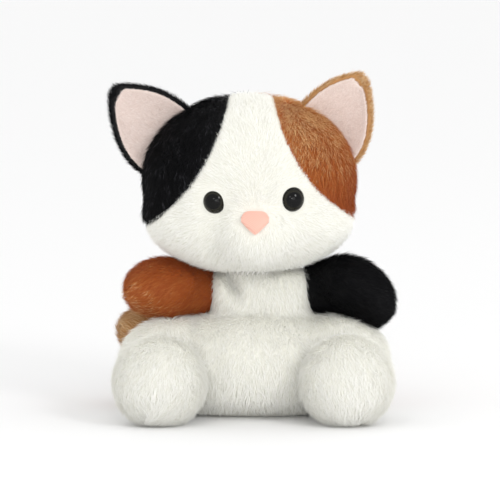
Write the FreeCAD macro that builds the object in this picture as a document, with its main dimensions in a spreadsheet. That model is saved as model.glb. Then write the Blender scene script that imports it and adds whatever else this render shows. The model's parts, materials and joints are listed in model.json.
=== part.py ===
"""Seated calico plush cat, about 125 mm tall, as a parametric FreeCAD document.

Millimetres, +Z up, the cat faces -Y. The origin is the centre of the flat patch that the
cat sits on. Right and left are the cat's own sides, so the right side is at -X.
Every solid is about 1.5 mm inside the tips of its pile.
"""
import FreeCAD, Part
import math
import os
import Sketcher
from FreeCAD import Placement, Rotation, Vector

doc = FreeCAD.newDocument("plush_cat")
sheet = doc.addObject("Spreadsheet::Sheet", "sizes")

# Each stuffed volume is an ellipsoid: centre x, y, z, then half width, half depth, half height.
VOLUMES = {
    "skull": (-1, -1, 85.3, 38, 30, 30.5),
    "cheeks": (-1, -3, 72.3, 38, 27, 20.6),
    "muzzle": (1.5, -21.5, 69, 15.5, 11.5, 12.5),
    "seat": (1, -1, 16.5, 46, 27.5, 20.8),
    "right_thigh": (-30, -7, 20, 18, 17, 15),
    "left_thigh": (32, -7, 20.5, 18, 17, 15),
    "chest": (3, 8, 38, 20, 14.5, 16.5),
    "pouch": (1, 3, 14, 29, 14, 8.5),
    "right_arm": (-31.5, -4, 46, 14.5, 11, 10.3),
    "left_arm": (37, -4, 46.3, 15, 11, 10.3),
}

# Each ball joint or round foot is a sphere: centre x, y, z, then radius.
BALLS = {
    "neck": (0, 2, 55, 11),
    "right_shoulder": (-21, 0, 44.8, 9.2),
    "left_shoulder": (25, 0, 45.5, 9.2),
    "right_hip": (-31, -13, 16, 10.2),
    "left_hip": (32, -13, 16, 10.2),
    "right_foot": (-33.3, -33.5, 15.2, 15.8),
    "left_foot": (34.2, -33.5, 15.4, 16),
}

SIZES = {
    "skin": 2.2,             # backing cloth with its pile, pressed flat
    "gap": 0.4,              # air round each ball joint
    "neck_ring_in": 0.3,     # the neck stitching stands this far off the neck ball
    "neck_ring_thick": 0.9,
    "neck_ring_low": -19,    # latitude of the ring's lower edge, degrees
    "neck_ring_high": -6,
    "neck_groove_low": -25,  # the body is hollowed round the ring down to this latitude
    "neck_socket": 1.6,      # the head's socket stands this far off the neck ball
    "back_seam_y": 6,        # side seam between the tummy and the back panels
    "head_seam_y": 4,        # seam between the face and the back of the head
    "head_middle_x": -1,
    "black_arc_x": -84.6,    # the black patch is bounded by an arc with this centre
    "black_arc_z": 132.2,
    "black_arc_r": 77.7,
    "orange_arc_x": 73,
    "orange_arc_z": 128.1,
    "orange_arc_r": 66,
    "droop": 19,             # the left arm's outer end hangs by this angle
    "foot_lift": 25,
    "foot_drop": 8,
    "eye_radius": 4.3,
    "eye_cut": 12,           # latitude where the dome is cut flat, degrees
    "eye_shank": 1.5,
    "eye_shank_long": 8,
    "washer_radius": 4.6,
    "washer_thick": 1.2,
    "washer_depth": 2.9,     # behind the dome's centre, inside the skin
    "right_eye_x": -14,
    "right_eye_z": 80.3,
    "left_eye_x": 14.8,
    "left_eye_z": 81.3,
    "eye_y": -26.4,
    "nose_wide": 10.6,
    "nose_tall": 8,
    "nose_round": 1.8,
    "nose_thick": 1,
    "nose_x": 1.1,
    "nose_z": 73.1,
    "ear_back_thick": 2.4,
    "ear_lining_thick": 1.2,
    "ear_rim": 2.6,          # the lining stays this far inside the ear's edge
    "ear_clear": 1.3,        # room under the ear for its fold
    "ear_tip_round": 3.2,
    "tail_bend": 26,
    "tail_radius": 7.3,
    "tail_sweep": 85,
    "tail_tilt": 31,
    "tail_start": 70,
    "tail_x": -21,
    "tail_y": 7.4,
    "tail_z": 14,
    "pouch_cloth": 0.6,
    "label_wide": 11,
    "label_long": 14,
    "label_thick": 0.5,
    "label_x": 10,
    "label_y": 19,
    "label_z": 3,
}

CENTRE = ("x", "y", "z")
HALVES = ("wide", "deep", "tall")
HUGE = 300  # a cutting block larger than the cat


def fill_sheet():
    """Write every driving size into the sheet, one aliased cell each."""
    cells = dict(SIZES)
    for name, values in VOLUMES.items():
        for key, value in zip(CENTRE + HALVES, values):
            cells[f"{name}_{key}"] = value
    for name, values in BALLS.items():
        for key, value in zip(CENTRE + ("round",), values):
            cells[f"{name}_{key}"] = value
    for row, (alias, value) in enumerate(cells.items(), start=1):
        sheet.set(f"A{row}", alias)
        sheet.set(f"B{row}", str(value))
        sheet.setAlias(f"B{row}", alias)
    doc.recompute()
    return cells


cells = fill_sheet()
parts = {}


def bind(obj, **formulas):
    """Bind properties to formulas over the sheet's aliases. Dots are written as __."""
    for prop, formula in formulas.items():
        text = formula
        for alias in sorted(cells, key=len, reverse=True):
            text = replace_word(text, alias)
        obj.setExpression(prop.replace("__", "."), text)


def replace_word(text, alias):
    """Point one alias in a formula at the sheet, leaving longer words alone."""
    words = text.split(" ")
    return " ".join(f"sizes.{alias}" if word == alias else word for word in words)


def put(obj, x, y, z):
    """Bind an object's position."""
    bind(obj, Placement__Base__x=x, Placement__Base__y=y, Placement__Base__z=z)


def keep(obj, node):
    """Name a finished sub-part, which is written to parts/ under that name."""
    obj.Label = node
    parts[node] = obj
    return obj


def volume(name, purpose, grow="0"):
    """One stuffed volume, grown or shrunk all round."""
    egg = doc.addObject("Part::Ellipsoid", f"{name}_{purpose}")
    bind(egg, Radius1=f"{name}_tall + {grow}", Radius2=f"{name}_wide + {grow}", Radius3=f"{name}_deep + {grow}")
    put(egg, f"{name}_x", f"{name}_y", f"{name}_z")
    return egg


def ball(name, purpose, grow="0"):
    """One ball joint or foot, grown or shrunk all round."""
    sphere = doc.addObject("Part::Sphere", f"{name}_{purpose}")
    bind(sphere, Radius=f"{name}_round + {grow}")
    put(sphere, f"{name}_x", f"{name}_y", f"{name}_z")
    return sphere


def fuse(name, shapes):
    """Join several objects into one."""
    obj = doc.addObject("Part::MultiFuse", name)
    obj.Shapes = shapes
    return obj


def cut(name, base, tools):
    """Take several objects away from one."""
    tool = tools[0] if len(tools) == 1 else fuse(f"{name}_tools", tools)
    obj = doc.addObject("Part::Cut", name)
    obj.Base = base
    obj.Tool = tool
    return obj


def common(name, shapes):
    """What several objects share."""
    obj = doc.addObject("Part::MultiCommon", name)
    obj.Shapes = shapes
    return obj


def block(name, x="-150", y="-150", z="-150"):
    """A cutting block that reaches from one corner to far beyond the cat."""
    box = doc.addObject("Part::Box", name)
    box.Length = box.Width = box.Height = HUGE
    put(box, x, y, z)
    return box


def rod(name, radius, length):
    """A cylinder along its own Z."""
    obj = doc.addObject("Part::Cylinder", name)
    bind(obj, Radius=radius, Height=length)
    return obj


# ---- sketches --------------------------------------------------------------------------


def body_sketch(name):
    """A PartDesign body and a sketch on its own XY plane."""
    body = doc.addObject("PartDesign::Body", name)
    plane = next(f for f in body.Origin.OriginFeatures if f.Role == "XY_Plane")
    sketch = body.newObject("Sketcher::SketchObject", f"{name}_sketch")
    sketch.AttachmentSupport = [(plane, "")]
    sketch.MapMode = "FlatFace"
    return body, sketch


def constrain(sketch, name, formula, *args):
    """Add a named dimension to a sketch and bind it to a formula."""
    index = sketch.addConstraint(Sketcher.Constraint(*args))
    sketch.renameConstraint(index, name)
    bind(sketch, **{f"Constraints__{name}": formula})


def pad(body, sketch, length):
    """Pad a sketch upwards."""
    feature = body.newObject("PartDesign::Pad", f"{body.Name}_pad")
    feature.Profile = sketch
    bind(feature, Length=length)
    body.Tip = feature
    return feature


def triangle(sketch, wide, along, tall, bow=None):
    """A triangle from the origin: a base along X and a tip. The first side may bow outwards."""
    doc.recompute()
    value = {key: sketch.evalExpression(spread(text)) for key, text in (("w", wide), ("a", along), ("t", tall))}
    corner = Vector(0, 0, 0)
    end = Vector(float(value["w"]), 0, 0)
    tip = Vector(float(value["a"]), float(value["t"]), 0)
    base = sketch.addGeometry(Part.LineSegment(corner, end))
    inner = sketch.addGeometry(Part.LineSegment(end, tip))
    if bow:
        middle = bowed_middle(tip, corner, float(sketch.evalExpression(spread(bow))))
        edge = sketch.addGeometry(Part.Arc(tip, middle, corner))
        first, last = arc_ends(sketch, edge, tip)
    else:
        edge = sketch.addGeometry(Part.LineSegment(tip, corner))
        first, last = 1, 2
    sketch.addConstraint(Sketcher.Constraint("Coincident", base, 1, -1, 1))
    sketch.addConstraint(Sketcher.Constraint("Horizontal", base))
    sketch.addConstraint(Sketcher.Constraint("Coincident", base, 2, inner, 1))
    sketch.addConstraint(Sketcher.Constraint("Coincident", inner, 2, edge, first))
    sketch.addConstraint(Sketcher.Constraint("Coincident", edge, last, base, 1))
    constrain(sketch, "wide", wide, "DistanceX", base, 1, base, 2, end.x)
    constrain(sketch, "along", along, "DistanceX", base, 1, inner, 2, tip.x)
    constrain(sketch, "tall", tall, "DistanceY", base, 1, inner, 2, tip.y)
    if bow:
        constrain(sketch, "bow", bow, "Radius", edge, sketch.Geometry[edge].Radius)


def spread(text):
    """A formula with its aliases pointed at the sheet."""
    for alias in sorted(cells, key=len, reverse=True):
        text = replace_word(text, alias)
    return text


def bowed_middle(a, b, radius):
    """The middle of an arc from a to b that bows to the left of the way from b to a."""
    chord = a - b
    half = chord.Length / 2
    rise = radius - math.sqrt(radius * radius - half * half)
    side = Vector(-chord.y, chord.x, 0).normalize()
    return (a + b) / 2 + side * rise


def arc_ends(sketch, edge, tip):
    """Which end of the arc is at the tip, and which is at the corner."""
    at_start = (sketch.getPoint(edge, 1) - tip).Length < 0.001
    return (1, 2) if at_start else (2, 1)


def round_edges(body, radius, wanted):
    """Fillet the edges along Z whose position passes a test."""
    doc.recompute()
    solid = body.Tip
    names = []
    for number, edge in enumerate(solid.Shape.Edges, start=1):
        upright = edge.BoundBox.XLength + edge.BoundBox.YLength < 0.001
        if upright and wanted(edge.CenterOfMass):
            names.append(f"Edge{number}")
    fillet = body.newObject("PartDesign::Fillet", f"{body.Name}_fillet")
    fillet.Base = (solid, names)
    bind(fillet, Radius=radius)
    body.Tip = fillet


# ---- head ------------------------------------------------------------------------------


def make_head():
    """Five sewn panels round one stuffing, with a socket for the neck ball."""
    outer = fuse("head_outer", [volume(v, "outer") for v in ("skull", "cheeks", "muzzle")])
    inner = fuse("head_inner", [volume(v, "inner", "-1 * skin") for v in ("skull", "cheeks", "muzzle")])
    socket = ball("neck", "socket", "neck_socket")
    eyes = make_eyes()
    shell = cut("head_shell", outer, [inner, socket] + eyes)
    keep(cut("head_stuffing", inner, [socket] + eyes), "head_stuffing")

    behind = block("head_behind", y="head_seam_y")
    beyond = block("head_beyond", x="head_middle_x", y="head_seam_y")
    black = patch("black")
    orange = patch("orange")
    front = cut("head_front", shell, [behind])
    back = common("head_back", [shell, behind])
    keep(common("black_face_patch", [front, black]), "black_face_patch")
    keep(common("orange_face_patch", [front, orange]), "orange_face_patch")
    keep(cut("white_face_panel", front, [black, orange]), "white_face_panel")
    keep(cut("black_head_back", back, [beyond]), "black_head_back")
    keep(common("orange_head_back", [back, beyond]), "orange_head_back")
    return outer


def patch(colour):
    """A drum along Y whose side is the seam of a coloured patch."""
    drum = rod(f"{colour}_drum", f"{colour}_arc_r", "2 * head_seam_y + 150")
    drum.Placement = Placement(Vector(0, 0, 0), Rotation(Vector(1, 0, 0), 90))
    put(drum, f"{colour}_arc_x", "75", f"{colour}_arc_z")
    return drum


def make_eyes():
    """Two domed safety eyes, each with a washer pressed on its shank behind the cloth."""
    solids = []
    for side, turn in (("right", 14), ("left", -12)):
        aim = Rotation(Vector(0, 0, 1), -turn) * Rotation(Vector(1, 0, 0), 90)
        dome = doc.addObject("Part::Sphere", f"{side}_eye_dome")
        bind(dome, Radius="eye_radius", Angle1="eye_cut")
        shank = rod(f"{side}_eye_shank", "eye_shank", "eye_shank_long")
        put(shank, "0", "0", "-1 * eye_shank_long + 1")
        eye = fuse(f"{side}_eye_fused", [dome, shank])
        eye.Placement = Placement(Vector(0, 0, 0), aim)
        put(eye, f"{side}_eye_x", "eye_y", f"{side}_eye_z")
        keep(eye, f"{side}_eye")
        washer = make_washer(side, aim)
        solids += [eye, washer]
    return solids


def make_washer(side, aim):
    """A flat ring with the eye's shank through it."""
    body, sketch = body_sketch(f"{side}_washer")
    for name, radius in (("outside", "washer_radius"), ("hole", "eye_shank")):
        circle = sketch.addGeometry(Part.Circle(Vector(0, 0, 0), Vector(0, 0, 1), 3))
        sketch.addConstraint(Sketcher.Constraint("Coincident", circle, 3, -1, 1))
        constrain(sketch, name, radius, "Radius", circle, 3)
    pad(body, sketch, "washer_thick")
    depth = Vector(0, 0, -cells["washer_depth"] - cells["washer_thick"])
    body.Placement = Placement(aim.multVec(depth), aim)
    offset = body.Placement.Base
    put(body, f"{side}_eye_x + {offset.x}", f"eye_y + {offset.y}", f"{side}_eye_z + {offset.z}")
    return keep(body, f"{side}_eye_washer")


def make_nose():
    """A rounded triangle of satin stitches that lies on the muzzle."""
    body, sketch = body_sketch("nose_prism")
    triangle(sketch, "nose_wide", "nose_wide / 2", "nose_tall")
    pad(body, sketch, "30 * nose_thick")
    round_edges(body, "nose_round", lambda centre: True)
    body.Placement = Placement(Vector(0, 0, 0), Rotation(Vector(1, 0, 0), 90) * Rotation(Vector(0, 0, 1), 180))
    put(body, "nose_x + nose_wide / 2", "-20", "nose_z + nose_tall / 2")
    layer = cut("nose_layer", volume("muzzle", "nose", "nose_thick"), [volume("muzzle", "under_nose")])
    face = fuse("nose_face", [volume(v, "behind_nose") for v in ("skull", "cheeks")])
    stitched = cut("nose_stitched", common("nose_patch", [layer, body]), [face])
    keep(stitched, "nose_embroidery")


# ---- ears ------------------------------------------------------------------------------

# Outer end of the base, way along the base, way up the ear, then base length, the tip's place
# along it, its height, and the radius of the long outer edge.
EARS = {
    "right": (Vector(-40.0, 1, 85.5), Vector(0.494, 0, 0.870), Vector(-0.870, 0, 0.494), 31, 25, 25, 46),
    "left": (Vector(38.0, 1, 90.2), Vector(-0.677, 0, 0.735), Vector(0.735, 0, 0.677), 30, 25.2, 23, 34),
}
EAR_ROOT = 4  # how far the ear's outline runs into the head before it is trimmed


def make_ears():
    """Each ear is a furry back with a short-pile lining in front of it."""
    for side, (corner, along, up, *outline) in EARS.items():
        faces = 1 if side == "right" else -1
        aim = Rotation(along, up, along.cross(up), "XYZ")
        seat = volume("skull", f"{side}_ear_seat", "ear_clear")
        start = corner - up * EAR_ROOT
        make_ear_piece(side, "back", seat, Placement(start, aim), 0, faces, outline)
        make_ear_piece(side, "lining", seat, Placement(start, aim), 1, faces, outline)


def make_ear_piece(side, layer, seat, place, front, faces, outline):
    """One layer of an ear, trimmed clear of the head."""
    wide, tip_along, tall, bow = outline
    body, sketch = body_sketch(f"{side}_ear_{layer}_blank")
    inset = f"{front} * ear_rim"
    triangle(
        sketch,
        f"{wide} - 2 * {inset}",
        f"{tip_along} - 1.2 * {inset}",
        f"{tall + EAR_ROOT} - 1.8 * {inset}",
        f"{bow}",
    )
    pad(body, sketch, f"ear_{layer}_thick")
    top = cells["ear_rim"]
    round_edges(body, "ear_tip_round", lambda centre: centre.y > top)
    thick = cells[f"ear_{layer}_thick"]
    lift = cells["ear_back_thick"] / 2 if front else -cells["ear_back_thick"] / 2
    if faces < 0:
        lift = -lift - thick
    shift = Vector(front * cells["ear_rim"], 0, lift)
    body.Placement = place * Placement(shift, Rotation())
    keep(cut(f"{side}_ear_{layer}", body, [seat]), f"{side}_ear_{layer}")


# ---- body ------------------------------------------------------------------------------


def make_body():
    """Tummy, back and base panels round a stuffing and a pouch of pellets."""
    volumes = ("seat", "right_thigh", "left_thigh", "chest")
    sockets = [ball("right_shoulder", "socket", "gap"), ball("left_shoulder", "socket", "gap")]
    for side in ("right", "left"):
        sockets.append(ball(f"{side}_hip", "socket", "gap"))
        sockets += foot_sweep(side)
    sockets.append(tail_ball("tail_socket", "tail_radius + gap"))
    groove = ball("neck", "groove_outside", "neck_socket")
    bind(groove, Angle1="neck_groove_low")
    sockets.append(cut("neck_groove", groove, [ball("neck", "groove_inside")]))
    under = block("under_floor", z="-300")
    outer_fused = fuse("body_outer", [volume(v, "outer") for v in volumes] + [ball("neck", "outer")])
    inner_volumes = [volume(v, "inner", "-1 * skin") for v in volumes]
    inner_fused = fuse("body_inner", inner_volumes + [ball("neck", "inner", "-1 * skin")])
    outer = cut("body_solid", outer_fused, [under] + sockets)
    lining = block("base_slab", z="skin - 300")
    inner = cut("body_core", inner_fused, [lining] + sockets)

    shell = cut("body_shell", outer, [inner])
    low = block("base_block", z="skin - 300")
    behind = block("body_behind", y="back_seam_y")
    keep(common("base_panel", [shell, low]), "base_panel")
    upper = cut("body_upper", shell, [low])
    keep(cut("tummy_panel", upper, [behind]), "tummy_panel")
    keep(common("back_panel", [upper, behind]), "back_panel")

    pouch = volume("pouch", "outer")
    pellets = volume("pouch", "pellets", "-1 * pouch_cloth")
    keep(cut("body_stuffing", inner, [pouch]), "body_stuffing")
    keep(cut("pellet_pouch", pouch, [pellets]), "pellet_pouch")
    keep(pellets, "pouch_pellets")
    make_label(outer)
    make_neck_stitching()


def foot_sweep(side):
    """The foot's round back at several lifts, so that the thigh leaves it room."""
    hip = Vector(*BALLS[f"{side}_hip"][:3])
    shapes = []
    steps = 4
    for step in range(steps + 1):
        lift = -SIZES["foot_drop"] + (SIZES["foot_lift"] + SIZES["foot_drop"]) * step / steps
        foot = ball(f"{side}_foot", f"sweep_{step}", "gap")
        turn = Rotation(Vector(-1, 0, 0), lift)
        offset = turn.multVec(Vector(*BALLS[f"{side}_foot"][:3]) - hip)
        put(foot, f"{side}_hip_x + {offset.x}", f"{side}_hip_y + {offset.y}", f"{side}_hip_z + {offset.z}")
        shapes.append(foot)
    return shapes


def make_label(body_solid):
    """A blank sewn-in care label at the back, caught in the base seam."""
    body, sketch = body_sketch("label_blank")
    wide, long = cells["label_wide"], cells["label_long"]
    corners = [Vector(0, 0, 0), Vector(wide, 0, 0), Vector(wide, long, 0), Vector(0, long, 0)]
    for index in range(4):
        sketch.addGeometry(Part.LineSegment(corners[index], corners[(index + 1) % 4]))
    for index in range(4):
        sketch.addConstraint(Sketcher.Constraint("Coincident", index, 2, (index + 1) % 4, 1))
    sketch.addConstraint(Sketcher.Constraint("Coincident", 0, 1, -1, 1))
    for index, direction in enumerate(("Horizontal", "Vertical", "Horizontal", "Vertical")):
        sketch.addConstraint(Sketcher.Constraint(direction, index))
    constrain(sketch, "wide", "label_wide", "DistanceX", 0, 1, 0, 2, wide)
    constrain(sketch, "long", "label_long", "DistanceY", 1, 1, 1, 2, long)
    pad(body, sketch, "label_thick")
    put(body, "label_x", "label_y", "label_z")
    keep(cut("care_label", body, [body_solid]), "care_label")


def make_neck_stitching():
    """The ring of stitches between the body and the head, round the neck ball."""
    rings = []
    for name, grow in (("outside", "neck_ring_in + neck_ring_thick"), ("inside", "neck_ring_in")):
        ring = ball("neck", f"ring_{name}", grow)
        rings.append(ring)
    bind(rings[0], Angle1="neck_ring_low", Angle2="neck_ring_high")
    keep(cut("neck_stitching", rings[0], [rings[1]]), "neck_stitching")


# ---- limbs and tail --------------------------------------------------------------------


def stuffed(node, outer, inner):
    """A sewn skin round its own stuffing."""
    keep(cut(f"{node}_skin", outer, [inner]), f"{node}_skin")
    keep(inner, f"{node}_stuffing")


def make_arms():
    """Each arm is an egg on a ball that sits in the shoulder seam."""
    for side, axis, angle in (("right", Vector(0, 0, 1), "180"), ("left", Vector(0, 1, 0), "droop")):
        layers = []
        for purpose, grow in (("outer", "0"), ("inner", "-1 * skin")):
            egg = volume(f"{side}_arm", purpose, grow)
            egg.Placement = Placement(egg.Placement.Base, Rotation(axis, 1))
            bind(egg, Placement__Rotation__Angle=angle)
            layers.append(fuse(f"{side}_arm_{purpose}_fused", [egg, ball(f"{side}_shoulder", purpose, grow)]))
        stuffed(f"{side}_arm", *layers)


def make_legs():
    """Each leg is a round foot on a ball that sits in the hip seam, flat where it rests."""
    for side in ("right", "left"):
        layers = []
        for purpose, grow, floor in (("outer", "0", "-300"), ("inner", "-1 * skin", "skin - 300")):
            balls = [ball(f"{side}_foot", purpose, grow), ball(f"{side}_hip", purpose, grow)]
            under = block(f"{side}_foot_{purpose}_floor", z=floor)
            layers.append(cut(f"{side}_leg_{purpose}", fuse(f"{side}_leg_{purpose}_fused", balls), [under]))
        stuffed(f"{side}_leg", *layers)


def tail_frame():
    """Where the tail's bend is centred, and how it is turned and tipped."""
    turn = Rotation(Vector(0, 0, 1), cells["tail_start"]) * Rotation(Vector(1, 0, 0), cells["tail_tilt"])
    return Placement(Vector(cells["tail_x"], cells["tail_y"], cells["tail_z"]), turn)


def tail_ball(name, radius):
    """The round root of the tail."""
    sphere = doc.addObject("Part::Sphere", name)
    bind(sphere, Radius=radius)
    root = tail_frame().multVec(Vector(cells["tail_bend"], 0, 0))
    offset = root - tail_frame().Base
    put(sphere, f"tail_x + {offset.x}", f"tail_y + {offset.y}", f"tail_z + {offset.z}")
    return sphere


def make_tail():
    """A round tail that bends from the back of the seat towards the right hip."""
    layers = []
    for purpose, radius in (("outer", "tail_radius"), ("inner", "tail_radius - skin")):
        bend = doc.addObject("Part::Torus", f"tail_bend_{purpose}")
        bind(bend, Radius1="tail_bend", Radius2=radius, Angle3="tail_sweep")
        ends = []
        for end, x, y in (("root", "tail_bend", "0"), ("tip", "tail_bend * cos( tail_sweep )", "tail_bend * sin( tail_sweep )")):
            sphere = doc.addObject("Part::Sphere", f"tail_{end}_{purpose}")
            bind(sphere, Radius=radius)
            put(sphere, x, y, "0")
            ends.append(sphere)
        tail = fuse(f"tail_{purpose}", [bend] + ends)
        tail.Placement = tail_frame()
        layers.append(tail)
    stuffed("tail", *layers)


def check_and_write():
    """Refuse a failed object, then write every sub-part."""
    doc.recompute()
    failed = [o.Name for o in doc.Objects if {"Invalid", "Error"} & set(o.State)]
    if failed:
        raise RuntimeError(f"failed objects: {failed}")
    os.makedirs("parts", exist_ok=True)
    for node, obj in parts.items():
        shape = obj.Shape
        if shape.isNull() or not shape.isValid() or not shape.Solids:
            raise RuntimeError(f"bad shape: {node}")
        shape.exportStep(os.path.join("parts", f"{node}.step"))
        box = shape.BoundBox
        print(
            f"{node:20s} solids {len(shape.Solids)} volume {shape.Volume:9.1f} "
            f"x {box.XMin:6.1f} {box.XMax:6.1f} y {box.YMin:6.1f} {box.YMax:6.1f} z {box.ZMin:6.1f} {box.ZMax:6.1f}"
        )
    print(len(parts), "sub-parts")


make_head()
make_nose()
make_ears()
make_body()
make_arms()
make_legs()
make_tail()
check_and_write()
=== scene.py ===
# %% [markdown]
# # A seated calico plush cat
# The cat is a real toy of sewn pile cloth, stuffed with fibre and weighted with beads. A packed
# frame gives every part's place, body and joint. This lesson dresses that frame: soft skins,
# combed pile, eyes, a stitched nose and lined ears. Everything is in metres, +Z up, the cat
# faces -Y, and its right side is at -X.

# %% Load the frame
import bmesh
import bpy
import json
import math
from mathutils import Matrix, Vector
from mathutils.bvhtree import BVHTree


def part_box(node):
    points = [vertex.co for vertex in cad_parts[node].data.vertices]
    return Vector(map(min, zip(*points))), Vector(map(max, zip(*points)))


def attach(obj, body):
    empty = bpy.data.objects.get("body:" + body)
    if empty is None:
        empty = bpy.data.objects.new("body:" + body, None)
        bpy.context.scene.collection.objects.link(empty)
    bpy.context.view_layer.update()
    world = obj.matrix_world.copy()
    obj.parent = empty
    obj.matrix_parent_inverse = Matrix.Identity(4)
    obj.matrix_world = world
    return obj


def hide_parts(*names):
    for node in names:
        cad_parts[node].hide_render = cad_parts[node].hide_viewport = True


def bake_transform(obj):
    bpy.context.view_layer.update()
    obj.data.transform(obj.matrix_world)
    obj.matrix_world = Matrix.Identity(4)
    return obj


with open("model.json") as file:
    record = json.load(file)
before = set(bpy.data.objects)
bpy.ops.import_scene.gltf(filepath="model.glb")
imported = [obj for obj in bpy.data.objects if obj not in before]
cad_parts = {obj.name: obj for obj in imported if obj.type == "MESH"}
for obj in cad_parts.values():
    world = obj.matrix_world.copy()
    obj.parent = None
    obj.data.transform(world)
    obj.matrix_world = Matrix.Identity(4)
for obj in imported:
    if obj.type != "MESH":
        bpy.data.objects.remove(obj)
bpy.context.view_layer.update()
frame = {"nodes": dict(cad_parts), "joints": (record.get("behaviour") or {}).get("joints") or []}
nodes = frame["nodes"]
scene = bpy.context.scene
MM = 0.001
print("nodes in the frame:", len(nodes))


# %% [markdown]
# ## Small helpers
# A skin starts as a copy of the CAD solids that it replaces, because a CAD node's own mesh must
# stay as it is. Meshes are edited with bmesh, and modifiers are turned into plain meshes at once.

# %% Objects and meshes
def new_object(name, mesh):
    """Put a mesh in the scene under its own name."""
    obj = bpy.data.objects.new(name, mesh)
    scene.collection.objects.link(obj)
    return obj


def from_bmesh(name, bm):
    """Turn a bmesh into an object."""
    mesh = bpy.data.meshes.new(name)
    bm.to_mesh(mesh)
    bm.free()
    return new_object(name, mesh)


def bake_modifiers(obj):
    """Replace an object's mesh by its evaluated one and drop its modifiers."""
    graph = bpy.context.evaluated_depsgraph_get()
    mesh = bpy.data.meshes.new_from_object(obj.evaluated_get(graph))
    obj.modifiers.clear()
    old = obj.data
    obj.data = mesh
    mesh.name = old.name + "_made"
    bpy.data.meshes.remove(old)
    return obj


def smooth_shading(obj):
    """Shade every face smooth."""
    obj.data.polygons.foreach_set("use_smooth", [True] * len(obj.data.polygons))
    obj.data.update()


def joined_copy(names):
    """One bmesh with copies of several CAD nodes."""
    bm = bmesh.new()
    for name in names:
        bm.from_mesh(nodes[name].data)
    return bm


def tree_of(obj):
    """A search tree over an object's faces."""
    bm = bmesh.new()
    bm.from_mesh(obj.data)
    tree = BVHTree.FromBMesh(bm)
    bm.free()
    return tree


def distance(tree, point):
    """How far a point is from a search tree's surface."""
    return tree.find_nearest(point)[3]


# %% [markdown]
# ## Finishes
# Pile cloth never shows one flat colour: each tuft's dye differs a little, and each is lit a little
# differently. So every coat colour is a run of five shades from its root to its tip, and the pile picks a
# shade for each hair, by chance and by place. Part of that is painted light and shade: a hair's tip is
# painted lighter than its root, partly by its dye and partly as painted shade down among the roots, and some
# pieces are painted lighter towards one side. The cloth under the pile gets a knitted backing, drawn with a
# fine wave and noise.

# %% Colours of the coat, from the darkest shade to the lightest
COATS = {
    "white": (
        (0.78, 0.77, 0.695), (0.86, 0.85, 0.785), (0.91, 0.905, 0.845), (0.94, 0.935, 0.89),
        (0.97, 0.965, 0.93),
    ),
    "black": (
        (0.0015, 0.0015, 0.002), (0.002, 0.002, 0.003), (0.004, 0.004, 0.005), (0.007, 0.007, 0.009),
        # The last black shade, which only a few hairs reach, is a painted glint, partly also specks of lint.
        (0.08, 0.08, 0.09),
    ),
    "orange": (
        (0.37, 0.078, 0.011), (0.42, 0.092, 0.014), (0.46, 0.115, 0.019), (0.55, 0.19, 0.046),
        (0.74, 0.45, 0.20),
    ),
    "tan": (
        (0.42, 0.20, 0.065), (0.51, 0.27, 0.10), (0.59, 0.35, 0.15), (0.67, 0.44, 0.22), (0.75, 0.55, 0.33),
    ),
    "pink": (
        (0.70, 0.575, 0.52), (0.77, 0.645, 0.59), (0.82, 0.70, 0.65), (0.87, 0.76, 0.71), (0.90, 0.81, 0.765),
    ),
}
SHEEN = {"white": 0.2, "black": 0.0, "orange": 0.05, "tan": 0.12, "pink": 0.2}
PILE_ROUGHNESS = {"white": 0.85, "black": 0.6, "orange": 0.62, "tan": 0.7, "pink": 0.9}
PILE_SHINE = {"white": 0.3, "black": 0.12, "orange": 0.3, "tan": 0.3, "pink": 0.3}


def plain_material(name, colour, roughness, sheen=0.0, coat=0.0, specular=0.5):
    """A material whose values are the same all over."""
    material = bpy.data.materials.new(name)
    material.use_nodes = True
    shader = material.node_tree.nodes["Principled BSDF"]
    shader.inputs["Base Color"].default_value = (*colour, 1)
    shader.inputs["Roughness"].default_value = roughness
    shader.inputs["Sheen Weight"].default_value = sheen
    shader.inputs["Sheen Roughness"].default_value = 0.4
    shader.inputs["Coat Weight"].default_value = coat
    shader.inputs["Specular IOR Level"].default_value = specular
    return material


shades = {}
for coat, colours in COATS.items():
    finish = {"roughness": PILE_ROUGHNESS[coat], "sheen": SHEEN[coat], "specular": PILE_SHINE[coat]}
    shades[coat] = [
        plain_material(f"{coat}_pile_{step}", colour, **finish)
        for step, colour in enumerate(colours, start=1)
    ]
print("pile shades:", sum(len(run) for run in shades.values()))


# %% A small way to write node trees
def add(tree, kind, values=None, **settings):
    """Add a node, set its properties, then link or set its inputs."""
    node = tree.nodes.new(kind)
    for key, value in settings.items():
        setattr(node, key, value)
    for key, value in (values or {}).items():
        if isinstance(value, bpy.types.NodeSocket):
            tree.links.new(value, node.inputs[key])
        else:
            node.inputs[key].default_value = value
    return node


def two_tone(name, low, high, pattern, roughness=0.9, bump=0.3, sheen=0.0, metal=0.0, coat=0.0):
    """A material that mixes two colours by a pattern over Object coordinates, with bump."""
    material = bpy.data.materials.new(name)
    material.use_nodes = True
    tree = material.node_tree
    shader = tree.nodes["Principled BSDF"]
    place = add(tree, "ShaderNodeTexCoord").outputs["Object"]
    field = pattern(tree, place)
    ramp = add(tree, "ShaderNodeValToRGB", {0: field})
    ramp.color_ramp.elements[0].color = (*low, 1)
    ramp.color_ramp.elements[1].color = (*high, 1)
    relief = add(tree, "ShaderNodeBump", {"Strength": bump, "Distance": 0.0003, "Height": field})
    tree.links.new(ramp.outputs["Color"], shader.inputs["Base Color"])
    tree.links.new(relief.outputs["Normal"], shader.inputs["Normal"])
    shader.inputs["Roughness"].default_value = roughness
    shader.inputs["Sheen Weight"].default_value = sheen
    shader.inputs["Metallic"].default_value = metal
    shader.inputs["Coat Weight"].default_value = coat
    return material


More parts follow.
